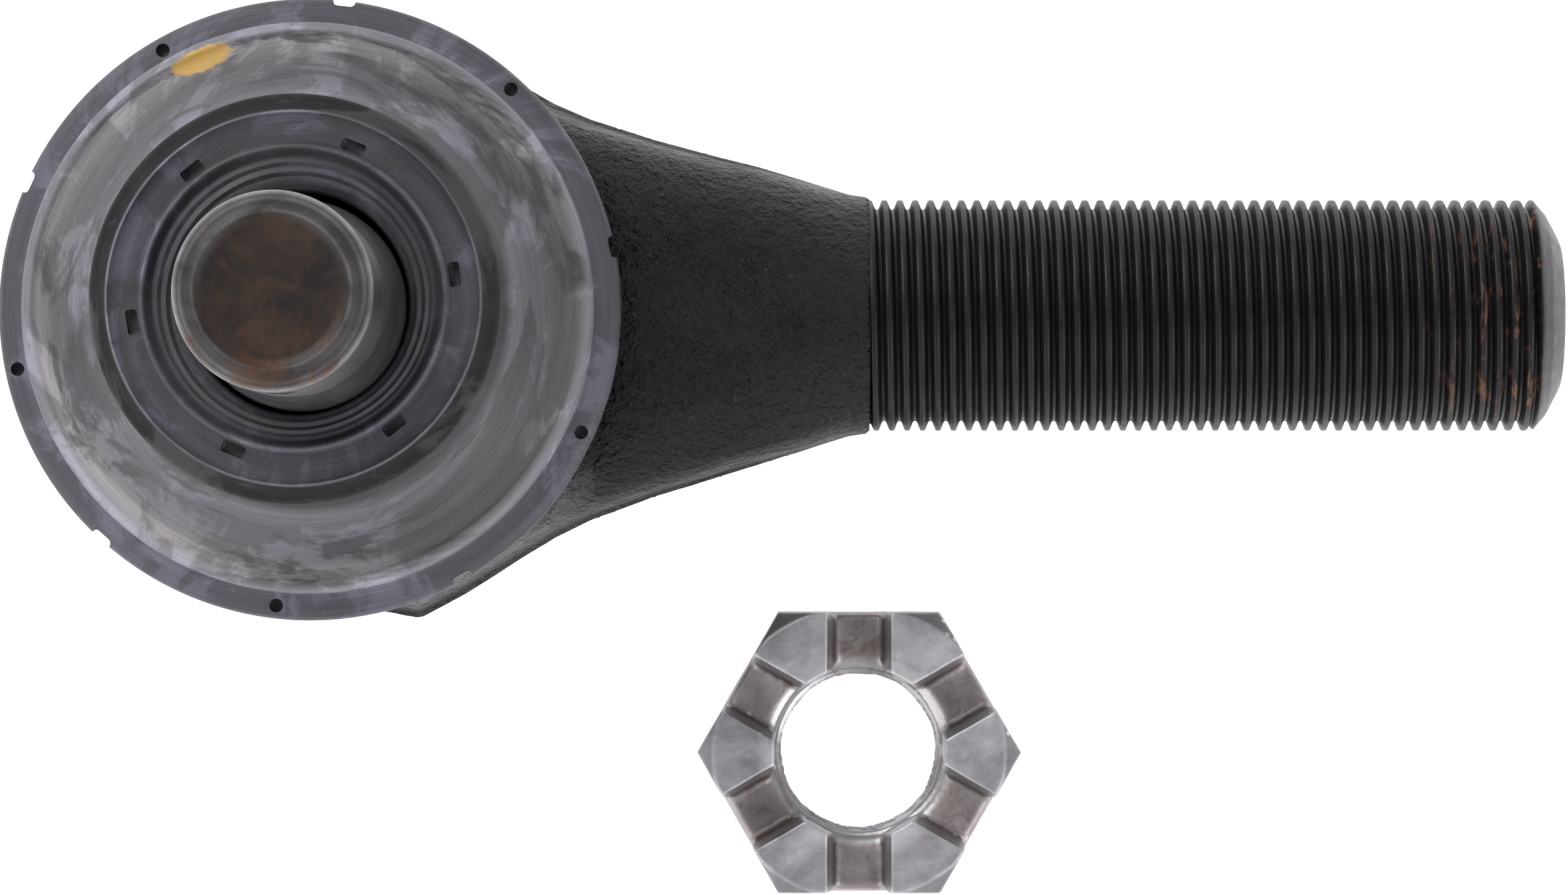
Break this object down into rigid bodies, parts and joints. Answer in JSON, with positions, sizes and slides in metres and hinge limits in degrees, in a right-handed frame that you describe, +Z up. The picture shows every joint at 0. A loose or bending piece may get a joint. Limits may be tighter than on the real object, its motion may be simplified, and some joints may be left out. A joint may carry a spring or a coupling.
{
  "type": "tie rod end",
  "caption": "Forged ball-joint end for a steering tie rod: threaded shank, tapered ball stud under a rubber dust boot, and a loose slotted hex nut.",
  "frame": {"origin": "centre of the footprint's box on the plane that the socket and the nut stand on", "axes": "+X along the threaded shank from the socket to its tip, +Z up along the ball stud, +Y the side away from the loose nut"},
  "size_m": [0.2124, 0.1218, 0.1265],
  "materials": {
    "forging_paint": "semi-gloss black paint over a rough forging",
    "bearing_steel": "hardened, greased",
    "spring_steel": "bright spring steel",
    "seal_rubber": "matt black",
    "cover_paint": "satin black paint",
    "nipple_metal": "zinc plated, dulled",
    "flange_rubber": "satin black",
    "boot_rubber": "black rubber, dusty grey",
    "collar_rubber": "black rubber, lightly dusty",
    "insert_steel": "plain steel",
    "stud_steel": "dark phosphated steel, rust tints at the end",
    "nut_steel": "bare steel with rust in the slots"
  },
  "bodies": {
    "socket": {"socket_housing": "forging_paint", "upper_bearing": "bearing_steel", "lower_bearing": "bearing_steel", "preload_spring": "spring_steel", "cover_seal": "seal_rubber", "end_cover": "cover_paint", "grease_fitting": "nipple_metal", "grease_check_spring": "spring_steel"},
    "boot_foot": {"boot_flange": "flange_rubber", "boot_skirt": "boot_rubber"},
    "boot_top": {"boot_collar": "collar_rubber", "collar_insert": "insert_steel"},
    "stud": {"ball_stud": "stud_steel"},
    "check_ball": {"grease_check_ball": "spring_steel"},
    "nut": {"castle_nut": "nut_steel"}
  },
  "joints": [
    {"name": "boot_swivel", "type": "hinge", "parent": "socket", "child": "boot_foot", "pos_m": [-0.06415, 0.01895, 0.033], "axis": [0, 0, 1], "continuous": true},
    {"name": "stud_tilt", "type": "hinge", "parent": "boot_foot", "child": "boot_top", "pos_m": [-0.06415, 0.01895, 0.033], "axis": [0, 1, 0], "range_deg": [-18, 18], "deforming": ["boot_skirt"]},
    {"name": "stud_spin", "type": "hinge", "parent": "boot_top", "child": "stud", "pos_m": [-0.06415, 0.01895, 0.033], "axis": [0, 0, 1], "continuous": true},
    {"name": "grease_check", "type": "slide", "parent": "socket", "child": "check_ball", "axis": [0, 0, 1], "range_m": [0, 0.0006], "stiffness_N_per_m": 60, "springref_m": -0.0005, "deforming": ["grease_check_spring"]},
    {"name": "nut_lift", "type": "slide", "parent": "socket", "child": "nut", "axis": [0, 0, 1], "range_m": [0, 0.06]}
  ]
}
